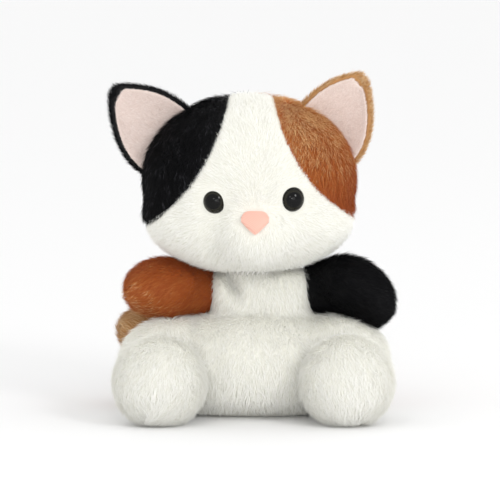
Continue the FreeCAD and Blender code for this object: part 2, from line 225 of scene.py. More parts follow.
def knit(tree, place):
    """The rows of a knitted backing with a little unevenness."""
    rows = add(tree, "ShaderNodeTexWave", {"Vector": place, "Scale": 900.0, "Distortion": 1.5, "Detail": 1.0})
    cloud = add(tree, "ShaderNodeTexNoise", {"Vector": place, "Scale": 260.0, "Detail": 3.0})
    mix = add(tree, "ShaderNodeMath", {0: rows.outputs["Fac"], 1: cloud.outputs["Fac"]}, operation="MULTIPLY")
    return mix.outputs[0]


def fibre(tree, place):
    """Loose fibre, drawn with stretched noise."""
    values = {"Vector": place, "Scale": 420.0, "Detail": 6.0, "Roughness": 0.7}
    cloud = add(tree, "ShaderNodeTexNoise", values)
    return cloud.outputs["Fac"]


def beads(tree, place):
    """Round beads packed side by side."""
    cells = add(tree, "ShaderNodeTexVoronoi", {"Vector": place, "Scale": 420.0})
    return cells.outputs["Distance"]


def weave(tree, place):
    """A plain weave of two crossing threads."""
    across = add(tree, "ShaderNodeTexWave", {"Vector": place, "Scale": 1100.0})
    along = add(tree, "ShaderNodeTexWave", {"Vector": place, "Scale": 1100.0}, bands_direction="Y")
    crossed = {0: across.outputs["Fac"], 1: along.outputs["Fac"]}
    mix = add(tree, "ShaderNodeMath", crossed, operation="MULTIPLY")
    return mix.outputs[0]


# %% Backing cloth, fibre, beads and thread
backing = {
    coat: two_tone(f"{coat}_backing_knit", run[0], run[2], knit, sheen=SHEEN[coat])
    for coat, run in COATS.items()
}
polyester = two_tone("polyester_fibre", (0.80, 0.80, 0.80), (0.95, 0.95, 0.95), fibre)
bead_plastic = two_tone("bead_plastic", (0.92, 0.92, 0.90), (0.55, 0.55, 0.54), beads, roughness=0.45)
pouch_weave = two_tone("pouch_weave", (0.70, 0.70, 0.68), (0.90, 0.90, 0.88), weave)
label_satin = two_tone("label_satin", (0.84, 0.84, 0.82), (0.97, 0.97, 0.96), weave, roughness=0.45)
thread_white = two_tone("white_thread", (0.80, 0.79, 0.76), (0.94, 0.93, 0.91), fibre, roughness=0.6)
washer_plastic = two_tone(
    "washer_plastic", (0.82, 0.82, 0.80), (0.90, 0.90, 0.88), fibre, roughness=0.5, bump=0.05
)
print("backing cloths:", sorted(backing))


# %% [markdown]
# ## Skins
# A stuffed skin is a bag: it is cut flat, sewn at its seams and pushed tight by what is in it.
# Each skin starts from its CAD solids, remeshed into one even skin and smoothed where two round
# forms meet. It is drawn in a little, so that the pile's tips end where the toy's outline is.
# Then cloth pressure runs on it between its seams, but half of the points move less than 0.1 mm. So
# the stuffed shape comes from the CAD solids, and the folds and creases from moving vertices.
# The simulation runs ten times larger, because cloth settings are made for things of a metre.

# %% Remesh and smooth
def rough_skin(name, parts, voxel, rounds, tuck, masses=()):
    """One closed even skin round some CAD parts and extra masses of stuffing, drawn in by tuck."""
    bm = joined_copy(parts)
    for centre, halves in masses:
        add_mass(bm, Vector(centre), halves)
    obj = from_bmesh(name, bm)
    remesh = obj.modifiers.new("even", "REMESH")
    remesh.mode = "VOXEL"
    remesh.voxel_size = voxel
    bake_modifiers(obj)
    keep_largest(obj)
    full, _ = volume_and_area(obj)
    relax = obj.modifiers.new("relax", "SMOOTH")
    relax.factor = 0.5
    relax.iterations = rounds
    bake_modifiers(obj)
    shrunk, area = volume_and_area(obj)
    offset = (full - shrunk) / area - tuck
    for vertex, normal in zip(obj.data.vertices, [v.normal.copy() for v in obj.data.vertices]):
        vertex.co += normal * offset
    smooth_shading(obj)
    return obj


def add_mass(bm, centre, halves):
    """A rounded block of stuffing."""
    ball = bmesh.ops.create_icosphere(bm, subdivisions=4, radius=1.0)
    for vert in ball["verts"]:
        boxy = [math.copysign(abs(value) ** 0.62, value) * half for value, half in zip(vert.co, halves)]
        vert.co = centre + Vector(boxy)


def volume_and_area(obj):
    """Volume and area of a closed mesh."""
    bm = bmesh.new()
    bm.from_mesh(obj.data)
    measured = bm.calc_volume(), sum(face.calc_area() for face in bm.faces)
    bm.free()
    return measured


def keep_largest(obj):
    """Drop the islands that a remesh leaves inside the skin."""
    bm = bmesh.new()
    bm.from_mesh(obj.data)
    seen = set()
    islands = []
    for start in bm.verts:
        if start in seen:
            continue
        island, stack = [], [start]
        seen.add(start)
        while stack:
            vert = stack.pop()
            island.append(vert)
            for edge in vert.link_edges:
                other = edge.other_vert(vert)
                if other not in seen:
                    seen.add(other)
                    stack.append(other)
        islands.append(island)
    islands.sort(key=len)
    loose = [vert for island in islands[:-1] for vert in island]
    bmesh.ops.delete(bm, geom=loose, context="VERTS")
    bm.to_mesh(obj.data)
    bm.free()


# %% Swell a skin between its seams
SIM_SCALE = 10
SIM_FRAMES = 16


def swell(obj, seams, cap, pressure):
    """Cloth pressure on a large copy; vertices on a seam are held, and no point moves past cap."""
    start = [vertex.co.copy() for vertex in obj.data.vertices]
    for vertex in obj.data.vertices:
        vertex.co *= SIM_SCALE
    held = obj.vertex_groups.new(name="seams")
    held.add([i for i, co in enumerate(start) if seams(co)], 1.0, "REPLACE")
    cloth = obj.modifiers.new("stuffing", "CLOTH")
    cloth.settings.use_pressure = True
    cloth.settings.uniform_pressure_force = pressure
    cloth.settings.effector_weights.gravity = 0
    cloth.settings.vertex_group_mass = "seams"
    cloth.settings.quality = 4
    cloth.settings.tension_stiffness = cloth.settings.compression_stiffness = 6
    cloth.collision_settings.use_collision = False
    cloth.collision_settings.use_self_collision = False
    cloth.point_cache.frame_end = SIM_FRAMES
    for step in range(1, SIM_FRAMES + 1):
        scene.frame_set(step)
    graph = bpy.context.evaluated_depsgraph_get()
    grown = obj.evaluated_get(graph).data
    ends = [vertex.co / SIM_SCALE for vertex in grown.vertices]
    obj.modifiers.clear()
    obj.vertex_groups.clear()
    moves = [after - before for before, after in zip(start, ends)]
    lengths = sorted(move.length for move in moves)
    for vertex, before, move in zip(obj.data.vertices, start, moves):
        if move.length > cap:
            move *= cap / move.length
        vertex.co = before + move
    scene.frame_set(1)
    obj.data.update()
    middle, most = lengths[len(lengths) // 2] / MM, lengths[-1] / MM
    print(f"{obj.name}: half moved under {middle:.2f} mm, at most {most:.2f} mm before the cap")
    return obj


def subdivide(obj, levels=1):
    """One subdivision after the simulation."""
    round_off = obj.modifiers.new("round", "SUBSURF")
    round_off.levels = round_off.render_levels = levels
    bake_modifiers(obj)
    smooth_shading(obj)


# %% [markdown]
# ## The panels of the head
# Five panels of cloth make the head. Their borders are found from the CAD panels: a point belongs
# to the panel that it is nearest to, and every face that a border crosses is cut along it, so the
# colours meet on a clean seam.

# %% Cut a skin along its panel borders
def panel_trees(panels):
    """A search tree for each CAD panel."""
    return {panel: tree_of(nodes[panel]) for panel in panels}


def cut_border(bm, inside, outside):
    """Add vertices and edges where a point is as near to one group of panels as to the other."""
    def side(co):
        return min(distance(t, co) for t in inside) - min(distance(t, co) for t in outside)

    value = {vert: side(vert.co) for vert in bm.verts}
    crossed = [e for e in bm.edges if value[e.verts[0]] * value[e.verts[1]] < 0]
    fresh = set()
    for edge in crossed:
        first, second = edge.verts
        share = value[first] / (value[first] - value[second])
        share = min(max(share, 0.02), 0.98)
        new_vert = bmesh.utils.edge_split(edge, first, share)[1]
        fresh.add(new_vert)
    for face in [f for f in bm.faces if sum(v in fresh for v in f.verts) == 2]:
        pair = [v for v in face.verts if v in fresh]
        if not any(pair[0] in e.verts for e in face.edges if pair[1] in e.verts):
            bmesh.utils.face_split(face, pair[0], pair[1])


def cut_panels(obj, panels, borders):
    """Cut every border and number each face by its panel."""
    trees = panel_trees(panels)
    bm = bmesh.new()
    bm.from_mesh(obj.data)
    for inside, outside in borders:
        cut_border(bm, [trees[p] for p in inside], [trees[p] for p in outside])
    for face in bm.faces:
        centre = face.calc_center_median()
        face.material_index = min(range(len(panels)), key=lambda i: distance(trees[panels[i]], centre))
    bm.to_mesh(obj.data)
    bm.free()


def near_border(trees, width):
    """A test for a point within a strip round any panel border."""
    def test(co):
        nearest = sorted(distance(tree, co) for tree in trees)
        return nearest[1] - nearest[0] < width

    return test


def crease(obj, trees, width, depth):
    """Draw a skin in along its seams."""
    moves = []
    for vertex in obj.data.vertices:
        nearest = sorted(distance(tree, vertex.co) for tree in trees)
        gap = nearest[1] - nearest[0]
        moves.append(vertex.normal * depth * max(0.0, 1 - gap / width) ** 2)
    for vertex, move in zip(obj.data.vertices, moves):
        vertex.co -= move
    obj.data.update()


# %% The head skin
HEAD_PANELS = [
    "white_face_panel", "black_face_patch", "orange_face_patch", "black_head_back", "orange_head_back",
]
HEAD_COATS = ["white", "black", "orange", "black", "orange"]
SKIN_VOXEL = 1.7 * MM
SWELL_CAP = 1.1 * MM

HEAD_TUCK = 0.1 * MM
head_parts = HEAD_PANELS + ["head_stuffing", "right_eye_washer", "left_eye_washer"]
head_skin = rough_skin("head_skin", head_parts, SKIN_VOXEL, 12, HEAD_TUCK)
head_trees = list(panel_trees(HEAD_PANELS).values())
swell(head_skin, near_border(head_trees, 0.9 * MM), SWELL_CAP, 6.0)
subdivide(head_skin)
cut_panels(
    head_skin,
    HEAD_PANELS,
    [
        (HEAD_PANELS[1:2], HEAD_PANELS[:1] + HEAD_PANELS[2:]),
        (HEAD_PANELS[2:3], HEAD_PANELS[:2] + HEAD_PANELS[3:]),
        (HEAD_PANELS[:1], HEAD_PANELS[1:]),
        (HEAD_PANELS[3:4], HEAD_PANELS[4:]),
    ],
)
crease(head_skin, head_trees, 1.6 * MM, 0.5 * MM)


# %% The muzzle and the fold beside it
MUZZLE_X, MUZZLE_Z = 3.2 * MM, 67.5 * MM
MUZZLE_WIDE, MUZZLE_TALL = 14.5 * MM, 12.5 * MM
MUZZLE_PUFF = 1.5 * MM
FOLD_DEEP = {"right": 2.1 * MM, "left": 0.6 * MM}


def hump(value, middle, width):
    """A smooth hump of height 1."""
    return math.exp(-(((value - middle) / width) ** 2))


def shape_muzzle(obj):
    """Puff the muzzle forward and draw in the fold that its stuffing leaves at each side."""
    moves = []
    for vertex in obj.data.vertices:
        if vertex.co.y > -8 * MM:
            continue
        across = (vertex.co.x - MUZZLE_X) / MUZZLE_WIDE
        rise = (vertex.co.z - MUZZLE_Z) / MUZZLE_TALL
        reach = math.hypot(across, rise)
        side = FOLD_DEEP["right" if across < 0 else "left"] * min(1.0, abs(across) * 1.3)
        fold = side * hump(reach, 1.15, 0.3) * (1.0 if rise < 0.5 else hump(rise, 0.5, 0.35))
        puff = MUZZLE_PUFF * hump(reach, 0.0, 0.7)
        moves.append((vertex, vertex.normal.copy() * puff + Vector((0, fold, 0))))
    for vertex, move in moves:
        vertex.co += move
    obj.data.update()


shape_muzzle(head_skin)
for coat in HEAD_COATS:
    head_skin.data.materials.append(backing[coat])
print("head skin faces:", len(head_skin.data.polygons))

# %% The body skin
BODY_PANELS = ["tummy_panel", "back_panel", "base_panel"]
BODY_COATS = ["white", "orange", "white"]

BODY_TUCK = 0.5 * MM
UNDER_ARMS = (
    ((31 * MM, 0, 29.5 * MM), (13 * MM, 12 * MM, 6 * MM)),
    ((-27 * MM, 0, 29.5 * MM), (11 * MM, 11 * MM, 5 * MM)),
)
CHEST = ((3.6 * MM, 1.0 * MM, 43.5 * MM), (20 * MM, 11.5 * MM, 9.8 * MM))
body_parts = BODY_PANELS + ["body_stuffing", "pellet_pouch", "pouch_pellets"]
body_skin = rough_skin("body_skin", body_parts, SKIN_VOXEL, 8, BODY_TUCK, [CHEST, *UNDER_ARMS])
body_trees = list(panel_trees(BODY_PANELS).values())
swell(body_skin, near_border(body_trees, 0.9 * MM), SWELL_CAP, 6.0)
subdivide(body_skin)
cut_panels(body_skin, BODY_PANELS, [(BODY_PANELS[:1], BODY_PANELS[1:]), (BODY_PANELS[1:2], BODY_PANELS[2:])])
for coat in BODY_COATS:
    body_skin.data.materials.append(backing[coat])


LAP_CURL = 3.8 * MM
CHEST_FOLD = 4.0 * MM


def fold_chest(obj):
    """The chin presses a fold into the chest's right side, and the lap curls up at its front edge."""
    for vertex in obj.data.vertices:
        low = max(0.0, 1 - vertex.co.z / (7 * MM))
        front = min(1.0, max(0.0, (-vertex.co.y - 14 * MM) / (10 * MM)))
        vertex.co.z += LAP_CURL * low * front
        if vertex.co.y < 0 and vertex.co.z > 38 * MM:
            slant = (vertex.co.x + 6.5 * MM) + (vertex.co.z - 46 * MM) * 0.5
            vertex.co.y += CHEST_FOLD * hump(slant, 0.0, 3.0 * MM) * hump(vertex.co.z, 48 * MM, 5 * MM)
    obj.data.update()


fold_chest(body_skin)
print("body skin faces:", len(body_skin.data.polygons))

# %% The limb and tail skins
LIMBS = {"right_arm": "orange", "left_arm": "black", "right_leg": "white", "left_leg": "white", "tail": "tan"}
LIMB_TUCK = {"right_arm": 0.3, "left_arm": 0.3, "right_leg": -0.3, "left_leg": -0.3, "tail": -0.4}
ARM_SAG = {"right_arm": (-34 * MM, 1.0 * MM), "left_arm": (35 * MM, 4.2 * MM)}
SAG_RUN = 9 * MM         # how far out from its start an arm reaches its full hang


def sag(skin, start, drop):
    """Let the underside of an arm's outer end hang, from start outwards."""
    heights = [vertex.co.z for vertex in skin.data.vertices]
    top, bottom = max(heights), min(heights)
    for vertex in skin.data.vertices:
        past = (abs(vertex.co.x) - abs(start)) / SAG_RUN
        low = (top - vertex.co.z) / (top - bottom)
        if past > 0:
            vertex.co.z -= drop * min(1.0, past) ** 1.3 * (0.1 + 0.9 * low)
            vertex.co.y -= 0.5 * drop * min(1.0, past) * low
    skin.data.update()


limb_skins = {}
for limb, coat in LIMBS.items():
    parts = [f"{limb}_skin", f"{limb}_stuffing"]
    skin = rough_skin(f"{limb}_pile_cloth", parts, SKIN_VOXEL * 0.8, 12, LIMB_TUCK[limb] * MM)
    if limb in ARM_SAG:
        sag(skin, *ARM_SAG[limb])
    low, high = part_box(f"{limb}_skin")
    middle = (low + high) / 2
    swell(skin, lambda co: abs(co.z - middle.z) < 0.4 * MM, SWELL_CAP, 40.0)
    subdivide(skin)
    skin.data.materials.append(backing[coat])
    limb_skins[limb] = skin
print("limb skins:", sorted(limb_skins))


# %% Keep every skin on the table
FLOOR_GAP = 0.05 * MM


def rest_on_table(obj):
    """Flatten what would sink below the table."""
    for vertex in obj.data.vertices:
        vertex.co.z = max(vertex.co.z, FLOOR_GAP)


for skin in [body_skin, limb_skins["right_leg"], limb_skins["left_leg"]]:
    rest_on_table(skin)

# %% [markdown]
# ## Ears
# An ear is two layers of cloth sewn together and turned: a furry back that folds round the rim, and
# a short-pile pink lining. Its base is caught in the head's seam, which bends it into a shallow
# cup. Each ear is a grid from base to tip, bent into that cup, and given a wall by Solidify.

# %% Find an ear's own frame
def ear_frame(side):
    """Base middle, way along the base, way up the ear, half base, height and tip place."""
    joint = next(j for j in frame["joints"] if j["name"] == f"{side}_ear_fold")
    along = Vector(joint["axis"]).normalized()
    centre = Vector(joint["pos_m"])
    outward = Vector((centre.x, 0, 0)).normalized()
    up = (outward - along * outward.dot(along)).normalized()
    spots = [vertex.co - centre for vertex in nodes[f"{side}_ear_back"].data.vertices]
    tall = max(spot.dot(up) for spot in spots)
    tip = max(spots, key=lambda spot: spot.dot(up)).dot(along)
    reach = [spot.dot(along) for spot in spots]
    return centre, along, up, min(reach), max(reach), tall, tip


EAR_ROOT = 3.5 * MM      # how far the ear's cloth runs down into the head's pile
EAR_CUP = 4.5 * MM       # depth of the cup at the base
EAR_ROWS = 18
EAR_COLUMNS = 16


def ear_point(shape, across, rise, inset, forward):
    """A point of the ear: across from -1 to 1, rise from 0 at the base to 1 at the tip."""
    centre, along, up, low, high, tall, tip = shape
    low, high, tip = low + inset, high - inset, tip * 1.08
    top = 1.08 * tall - 1.4 * inset
    narrow = (1 - rise ** 1.6) ** 0.7
    left = tip + (low - tip) * narrow
    right = tip + (high - tip) * narrow
    bow = 2.0 * MM * math.sin(math.pi * rise)
    left, right = left - bow, right + bow
    place = (left + right) / 2 + across * (right - left) / 2
    depth = EAR_CUP * (1 - rise * 0.55) * (1 - across * across) * (right - left) / (high - low)
    height = -EAR_ROOT + (top + EAR_ROOT) * rise
    return centre + along * place + up * height + Vector((0, depth - forward - 1.2 * MM, 0))


def ear_cloth(name, side, inset, forward, wall, last_row=1.0):
    """One layer of an ear as a closed cloth."""
    shape = ear_frame(side)
    bm = bmesh.new()
    grid = []
    for row in range(EAR_ROWS + 1):
        rise = last_row * row / EAR_ROWS * 0.985
        grid.append([
            bm.verts.new(ear_point(shape, 2 * column / EAR_COLUMNS - 1, rise, inset, forward))
            for column in range(EAR_COLUMNS + 1)
        ])
    for lower, upper in zip(grid, grid[1:]):
        for column in range(EAR_COLUMNS):
            bm.faces.new((lower[column], lower[column + 1], upper[column + 1], upper[column]))
    bmesh.ops.recalc_face_normals(bm, faces=bm.faces)
    ear = from_bmesh(name, bm)
    thick = ear.modifiers.new("wall", "SOLIDIFY")
    thick.thickness = wall
    thick.offset = 0
    smooth = ear.modifiers.new("round", "SUBSURF")
    smooth.levels = smooth.render_levels = 1
    bake_modifiers(ear)
    bm = bmesh.new()
    bm.from_mesh(ear.data)
    bmesh.ops.recalc_face_normals(bm, faces=bm.faces)
    bm.to_mesh(ear.data)
    bm.free()
    smooth_shading(ear)
    return ear


EAR_COATS = {"right": "black", "left": "tan"}
ear_backs, ear_linings = {}, {}
for side, coat in EAR_COATS.items():
    ear_backs[side] = ear_cloth(f"{side}_ear_cloth", side, 0.0, 0.0, 1.6 * MM)
    ear_backs[side].data.materials.append(backing[coat])
    ear_linings[side] = ear_cloth(f"{side}_ear_pink_cloth", side, 1.5 * MM, 1.1 * MM, 0.7 * MM, 0.96)
    ear_linings[side].data.materials.append(backing["pink"])
print("ears:", sorted(ear_backs))

# %% [markdown]
# ## Eyes
# The eyes are moulded safety eyes: a clear-coated dome with a dark olive ring moulded round a black
# pupil, on a ribbed shank that a washer holds inside the head. A profile turned about the eye's
# axis gives the dome, its thin rim and the shank as one closed solid.

# %% Turn an eye
EYE_STEPS = 48
EYE_YAW = {"right": 14, "left": -12}
EYE_FLAT = 0.9           # the dome is a little flatter than a half ball
EYE_STRETCH = (1.03, 1.0, 1.1)
EYE_SET = {"right": (0.9 * MM, -0.1 * MM), "left": (-0.5 * MM, -0.4 * MM)}


def eye_place(side):
    """Centre of an eye's ball, its radius and the turn that aims it."""
    low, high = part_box(f"{side}_eye")
    radius = (high.z - low.z) / 2
    across, up = EYE_SET[side]
    centre = Vector(((low.x + high.x) / 2 + across, low.y + radius - 0.5 * MM, (low.z + high.z) / 2 + up))
    aim = Matrix.Rotation(math.radians(-EYE_YAW[side]), 4, "Z") @ Matrix.Rotation(math.radians(90), 4, "X")
    return centre, radius, aim


def eye_profile(radius):
    """Half outline from the dome's pole to the shank's end."""
    points = []
    arc = 14
    for step in range(arc + 1):
        angle = math.radians(90 - 84 * step / arc)
        points.append((radius * math.cos(angle), radius * math.sin(angle) * EYE_FLAT))
    rim = radius * 1.0
    shank = 1.5 * MM
    points += [(rim, 0.2 * MM), (rim * 0.98, -0.25 * MM), (shank, -0.45 * MM)]
    for ring in range(5):
        drop = -1.2 * MM - ring * 1.2 * MM
        points += [(shank * 1.08, drop), (shank * 0.92, drop - 0.6 * MM)]
    points.append((0.0, -7.4 * MM))
    return points


def turned(name, profile):
    """Turn a half outline about Z into a closed solid."""
    bm = bmesh.new()
    rings = []
    for radius, height in profile:
        if radius < 1e-7:
            rings.append([bm.verts.new((0, 0, height))])
            continue
        angles = [2 * math.pi * k / EYE_STEPS for k in range(EYE_STEPS)]
        rings.append([
            bm.verts.new((radius * math.cos(angle), radius * math.sin(angle), height)) for angle in angles
        ])
    for upper, lower in zip(rings, rings[1:]):
        for k in range(EYE_STEPS):
            n = (k + 1) % EYE_STEPS
            corners = [
                upper[k % len(upper)], lower[k % len(lower)], lower[n % len(lower)], upper[n % len(upper)]
            ]
            unique = list(dict.fromkeys(corners))
            bm.faces.new(unique)
    bmesh.ops.recalc_face_normals(bm, faces=bm.faces)
    return from_bmesh(name, bm)


def eye_material(side, centre, aim):
    """Black pupil, dark olive ring, by the distance from the eye's axis."""
    material = bpy.data.materials.new(f"{side}_eye_enamel")
    material.use_nodes = True
    tree = material.node_tree
    shader = tree.nodes["Principled BSDF"]
    place = add(tree, "ShaderNodeTexCoord").outputs["Object"]
    moved = add(tree, "ShaderNodeVectorMath", {0: place, 1: tuple(centre)}, operation="SUBTRACT").outputs[0]
    front = aim.to_3x3() @ Vector((0, 0, 1))
    both = {0: moved, 1: tuple(front)}
    cross = add(tree, "ShaderNodeVectorMath", both, operation="CROSS_PRODUCT").outputs[0]
    away = add(tree, "ShaderNodeVectorMath", {0: cross}, operation="LENGTH").outputs["Value"]
    share = add(tree, "ShaderNodeMath", {0: away, 1: 230.0}, operation="MULTIPLY").outputs[0]
    ramp = add(tree, "ShaderNodeValToRGB", {0: share}).color_ramp
    ramp.elements[0].position, ramp.elements[0].color = 0.60, (0.001, 0.001, 0.001, 1)
    ramp.elements[1].position, ramp.elements[1].color = 0.70, (0.016, 0.015, 0.009, 1)
    rim = ramp.elements.new(0.92)
    rim.color = (0.004, 0.004, 0.003, 1)
    tree.links.new(tree.nodes["Color Ramp"].outputs["Color"], shader.inputs["Base Color"])
    shader.inputs["Roughness"].default_value = 0.08
    shader.inputs["Specular IOR Level"].default_value = 0.15
    shader.inputs["Coat Weight"].default_value = 0.1
    shader.inputs["Coat Roughness"].default_value = 0.03
    return material


eyes = {}
for side in EYE_YAW:
    centre, radius, aim = eye_place(side)
    eye = turned(f"{side}_glossy_eye", eye_profile(radius))
    eye.data.transform(Matrix.Translation(centre) @ Matrix.Diagonal((*EYE_STRETCH, 1)) @ aim)
    eye.data.materials.append(eye_material(side, centre, aim))
    smooth_shading(eye)
    eyes[side] = (eye, centre, radius)
    print(side, "eye is", round(2 * radius / MM, 1), "mm across")

# %% [markdown]
# ## Nose
# The nose is satin stitch: fine pink threads laid side by side over a small pad, longest in the
# middle. A pad follows the muzzle, and Geometry Nodes sweep a thread along each of its lines.

# %% Nose outline and pad
head_tree = tree_of(head_skin)
nose_low, nose_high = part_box("nose_embroidery")
NOSE_HALF = 4.9 * MM
NOSE_TALL = 8.0 * MM
NOSE_X = (nose_low.x + nose_high.x) / 2
NOSE_Z = (nose_low.z + nose_high.z) / 2 - 0.4 * MM
NOSE_PUFF = 1.1 * MM
STITCHES = 27
STITCH_POINTS = 9


def nose_edges(across):
    """Lower and upper edge of the nose at a place across it, from -1 to 1."""
    top = NOSE_TALL * (0.45 - 0.05 * across * across - 0.25 * abs(across) ** 6)
    bottom = -NOSE_TALL * 0.55 * (1 - min(1.0, abs(across)) ** 1.25) ** 1.05
    return min(bottom, top - 0.4 * MM), top


def nose_surface(x, z, lift):
    """A point on the muzzle in front of x, z, lifted off it."""
    hit = head_tree.ray_cast(Vector((x, -0.1, z)), Vector((0, 1, 0)))[0]
    return Vector((x, hit.y - lift, z))


def stitch_line(across):
    """The points of one stitch, domed between its two ends."""
    bottom, top = nose_edges(across)
    points = []
    for step in range(STITCH_POINTS):
        share = step / (STITCH_POINTS - 1)
        dome = math.sin(math.pi * share) ** 0.5 * (1 - 0.45 * across * across)
        height = bottom + (top - bottom) * share
        points.append(nose_surface(NOSE_X + across * NOSE_HALF, NOSE_Z + height, 1.0 * MM + NOSE_PUFF * dome))
    return points


def nose_lines():
    """A mesh of open lines, one for each stitch."""
    bm = bmesh.new()
    for stitch in range(STITCHES):
        across = 2 * stitch / (STITCHES - 1) - 1
        line = [bm.verts.new(point) for point in stitch_line(across * 0.97)]
        for first, second in zip(line, line[1:]):
            bm.edges.new((first, second))
    return from_bmesh("nose_stitches", bm)


def nose_pad():
    """The padding under the stitches, closed at the back."""
    bm = bmesh.new()
    columns = []
    for stitch in range(STITCHES):
        across = (2 * stitch / (STITCHES - 1) - 1) * 0.95
        columns.append([bm.verts.new(point + Vector((0, 0.15 * MM, 0))) for point in stitch_line(across)])
    for left, right in zip(columns, columns[1:]):
        for step in range(STITCH_POINTS - 1):
            bm.faces.new((left[step], right[step], right[step + 1], left[step + 1]))
    bmesh.ops.recalc_face_normals(bm, faces=bm.faces)
    pad = from_bmesh("nose_pad", bm)
    thick = pad.modifiers.new("wall", "SOLIDIFY")
    thick.thickness = 1.2 * MM
    thick.offset = -1
    bake_modifiers(pad)
    bm = bmesh.new()
    bm.from_mesh(pad.data)
    bmesh.ops.recalc_face_normals(bm, faces=bm.faces)
    bm.to_mesh(pad.data)
    bm.free()
    smooth_shading(pad)
    return pad


# %% Sweep the threads
def sockets(tree, wanted):
    """Name a tree's inputs and give each its first value."""
    for name, kind, value in wanted:
        item = tree.interface.new_socket(name=name, in_out="INPUT", socket_type=kind)
        if value is not None:
            item.default_value = value
    tree.interface.new_socket(name="Geometry", in_out="OUTPUT", socket_type="NodeSocketGeometry")


def thread_tree():
    """Sweep a round thread along every line."""
    tree = bpy.data.node_groups.new("satin_thread", "GeometryNodeTree")
    sockets(tree, [
        ("Geometry", "NodeSocketGeometry", None),
        ("Thread radius", "NodeSocketFloat", 0.25 * MM),
        ("Thread sides", "NodeSocketInt", 7),
        ("Thread", "NodeSocketMaterial", None),
    ])
    start = add(tree, "NodeGroupInput").outputs
    line = add(tree, "GeometryNodeMeshToCurve", {0: start["Geometry"]}).outputs[0]
    round_profile = {"Radius": start["Thread radius"], "Resolution": start["Thread sides"]}
    ring = add(tree, "GeometryNodeCurvePrimitiveCircle", round_profile).outputs["Curve"]
    swept = add(
        tree, "GeometryNodeCurveToMesh", {"Curve": line, "Profile Curve": ring, "Fill Caps": True}
    ).outputs["Mesh"]
    real = add(tree, "GeometryNodeRealizeInstances", {"Geometry": swept}).outputs[0]
    coloured = add(tree, "GeometryNodeSetMaterial", {"Geometry": real, "Material": start["Thread"]}).outputs[0]
    add(tree, "NodeGroupOutput", {0: coloured})
    return tree


def run_tree(obj, tree, values):
    """Give an object a node tree, set its inputs by identifier, and keep the result as its mesh."""
    modifier = obj.modifiers.new("made", "NODES")
    modifier.node_group = tree
    for item in tree.interface.items_tree:
        if item.in_out == "INPUT" and item.name in values:
            modifier[item.identifier] = values[item.name]
    bake_modifiers(obj)
    return obj


def satin(tree, place):
    """The twist of embroidery thread."""
    values = {"Vector": place, "Scale": 700.0, "Distortion": 2.0}
    twist = add(tree, "ShaderNodeTexWave", values, bands_direction="DIAGONAL")
    return twist.outputs["Fac"]


pink_thread = two_tone(
    "pink_satin_thread", (0.80, 0.42, 0.33), (0.90, 0.54, 0.44), satin, roughness=0.5, bump=0.15, sheen=0.4
)
nose_stitches = run_tree(
    nose_lines(), thread_tree(), {"Thread radius": 0.27 * MM, "Thread sides": 7, "Thread": pink_thread}
)
smooth_shading(nose_stitches)
nose_base = nose_pad()
nose_base.data.materials.append(pink_thread)
print("nose stitches:", STITCHES, "faces:", len(nose_stitches.data.polygons))

# %% [markdown]
# ## Neck stitches
# The head is closed onto the body by hand with a ladder of slanted stitches, which the pile
# covers. The same thread tree sweeps them round the neck.

# %% Sew the neck
NECK_STITCHES = 40
neck_low, neck_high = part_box("neck_stitching")
neck_centre = (neck_low + neck_high) / 2
neck_reach = (neck_high.x - neck_low.x) / 2 - 0.5 * MM


def neck_lines():
    """A slanted stitch for each step round the neck."""
    bm = bmesh.new()
    for stitch in range(NECK_STITCHES):
        line = []
        for share in (0.0, 0.5, 1.0):
            angle = 2 * math.pi * (stitch + 0.8 * share) / NECK_STITCHES
            out = neck_reach + (0.3 * MM if share == 0.5 else 0.0)
            rise = (share - 0.5) * (neck_high.z - neck_low.z) * 0.8
            spot = Vector((out * math.cos(angle), out * math.sin(angle), rise))
            line.append(bm.verts.new(neck_centre + spot))
        for first, second in zip(line, line[1:]):
            bm.edges.new((first, second))
    return from_bmesh("neck_ladder_stitches", bm)


neck_thread = run_tree(
    neck_lines(),
    bpy.data.node_groups["satin_thread"],
    {"Thread radius": 0.25 * MM, "Thread sides": 6, "Thread": thread_white},
)
smooth_shading(neck_thread)
print("neck stitches:", NECK_STITCHES)

# %% [markdown]
# ## Pile
# Plush pile is thousands of fine fibres that lean the way they were brushed, longer on the body
# than on the face, and flattened where a part rests. Each hair here is a bent, tapered,
# three-sided fibre of ten triangles. One Geometry Nodes tree scatters it on a panel, turns it
# to the brushing direction with some swirl, and gives each hair a shade: by chance, as its dye
# differs, and by place, as painted light and shade.

# %% The pile tree
PILE_INPUTS = [
    ("Geometry", "NodeSocketGeometry", None),
    ("Density", "NodeSocketFloat", 1000.0),
    ("Pile length", "NodeSocketFloat", 3 * MM),
    ("Root radius", "NodeSocketFloat", 0.13 * MM),
    ("Lean", "NodeSocketFloat", 0.5),
    ("Droop", "NodeSocketFloat", 0.6),
    ("Brush", "NodeSocketVector", (0.0, 0.0, -1.0)),
    ("Parting point", "NodeSocketVector", (0.0, 0.0, 0.0)),
    ("Parting", "NodeSocketFloat", 0.0),
    ("Swirl", "NodeSocketFloat", 0.6),
    ("Swirl scale", "NodeSocketFloat", 120.0),
    # Painted light and shade: a piece's tone rises from this point along this way.
    ("Painted light from", "NodeSocketVector", (0.0, 0.0, 0.0)),
    ("Painted light way", "NodeSocketVector", (0.0, 0.0, 0.0)),
    ("Tone", "NodeSocketFloat", 0.5),
    ("Tone spread", "NodeSocketFloat", 0.3),
    ("Seed", "NodeSocketInt", 1),
] + [(f"Shade {step}", "NodeSocketMaterial", None) for step in range(1, 6)]


def maths(tree, operation, first, second=0.0):
    """One maths node's result."""
    return add(tree, "ShaderNodeMath", {0: first, 1: second}, operation=operation).outputs[0]


